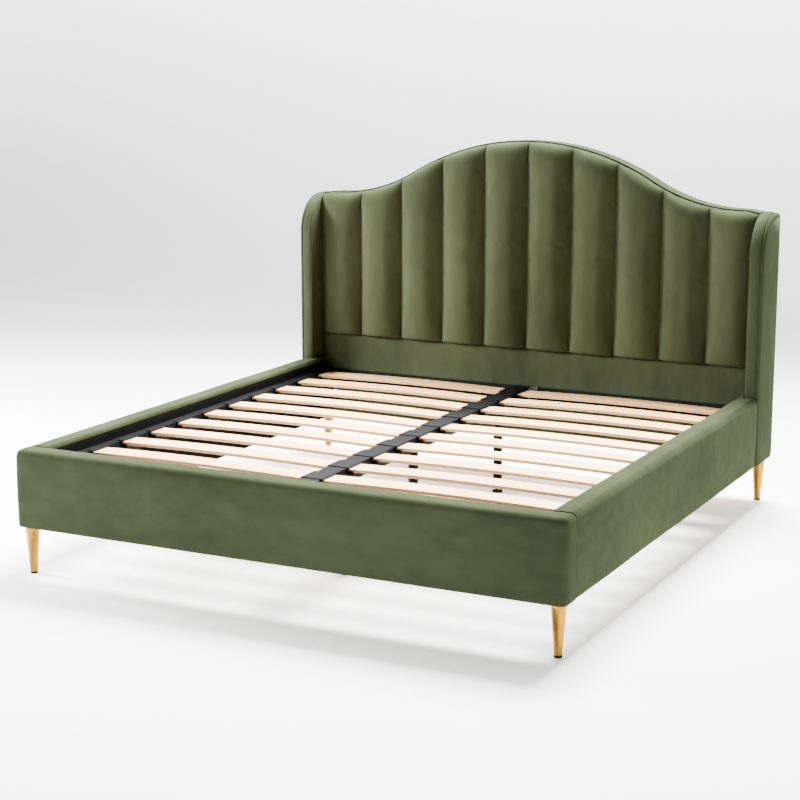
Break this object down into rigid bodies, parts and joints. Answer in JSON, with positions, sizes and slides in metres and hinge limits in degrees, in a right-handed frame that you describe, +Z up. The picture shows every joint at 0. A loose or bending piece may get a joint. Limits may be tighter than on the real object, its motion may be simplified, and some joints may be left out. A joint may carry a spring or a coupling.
{
  "type": "upholstered winged bed frame",
  "caption": "Upholstered two-person bed frame: arched, channelled velvet headboard with wings, padded rails, sprung slat deck on a centre beam and tapered brass legs.",
  "frame": {"origin": "on the floor, in the middle of the bed's footprint", "axes": "+Z up, +Y from the foot end towards the headboard, +X to the right when seen from the foot end"},
  "size_m": [2.11, 2.292, 1.4545],
  "materials": {
    "velvet": "short-pile velvet with a soft sheen",
    "welt_velvet": "velvet-covered piping cord",
    "lining": "black non-woven cloth",
    "timber": "planed pine, unfinished",
    "plywood": "plywood, unfinished",
    "birch": "laminated birch, clear lacquer",
    "black_plastic": "moulded, fine grain",
    "brass": "satin",
    "black_steel": "black powder coat, satin",
    "foot_black": "moulded pad on a steel screw",
    "zinc_steel": "bright zinc"
  },
  "bodies": {
    "frame": {"beam_clip_foot": "zinc_steel", "beam_clip_head": "zinc_steel", "bracket_bolts": "zinc_steel", "centre_beam": "black_steel", "channel_pads": "velvet", "corner_brackets_foot": "black_steel", "corner_brackets_head": "black_steel", "corner_leg_foot_left": "brass", "corner_leg_foot_right": "brass", "corner_leg_head_left": "brass", "corner_leg_head_right": "brass", "cross_bar_foot": "black_steel", "cross_bar_head": "black_steel", "foot_rail_core": "timber", "foot_rail_cover": "velvet", "foot_rail_lining": "lining", "headboard_back_cloth": "lining", "headboard_bottom_rail": "timber", "headboard_front_board": "plywood", "headboard_middle_rail": "timber", "headboard_post_left": "timber", "headboard_post_right": "timber", "headboard_top_rail": "timber", "ledger_bolts": "zinc_steel", "leg_bolts": "zinc_steel", "leg_glides": "black_plastic", "leg_plates": "zinc_steel", "lower_band": "velvet", "side_ledger_left": "black_steel", "side_ledger_right": "black_steel", "side_rail_core_left": "timber", "side_rail_core_right": "timber", "side_rail_cover_left": "velvet", "side_rail_cover_right": "velvet", "side_rail_lining_left": "lining", "side_rail_lining_right": "lining", "slat_holders_centre": "black_plastic", "slat_holders_left": "black_plastic", "slat_holders_right": "black_plastic", "slats_left": "birch", "slats_right": "birch", "support_leg_foot": "black_steel", "support_leg_head": "black_steel", "support_leg_middle": "black_steel", "top_border": "velvet", "top_welt": "welt_velvet", "wing_board_left": "timber", "wing_board_right": "timber", "wing_cover_left": "velvet", "wing_cover_right": "velvet", "wing_welt_left": "welt_velvet", "wing_welt_right": "welt_velvet"},
    "screw_foot_foot": {"screw_foot_foot": "foot_black"},
    "screw_foot_head": {"screw_foot_head": "foot_black"},
    "screw_foot_middle": {"screw_foot_middle": "foot_black"}
  },
  "joints": [
    {"name": "screw_foot_foot_screw", "type": "slide", "parent": "frame", "child": "screw_foot_foot", "axis": [0, 0, 1], "range_m": [0, 0.015]},
    {"name": "screw_foot_head_screw", "type": "slide", "parent": "frame", "child": "screw_foot_head", "axis": [0, 0, 1], "range_m": [0, 0.015]},
    {"name": "screw_foot_middle_screw", "type": "slide", "parent": "frame", "child": "screw_foot_middle", "axis": [0, 0, 1], "range_m": [0, 0.015]}
  ]
}
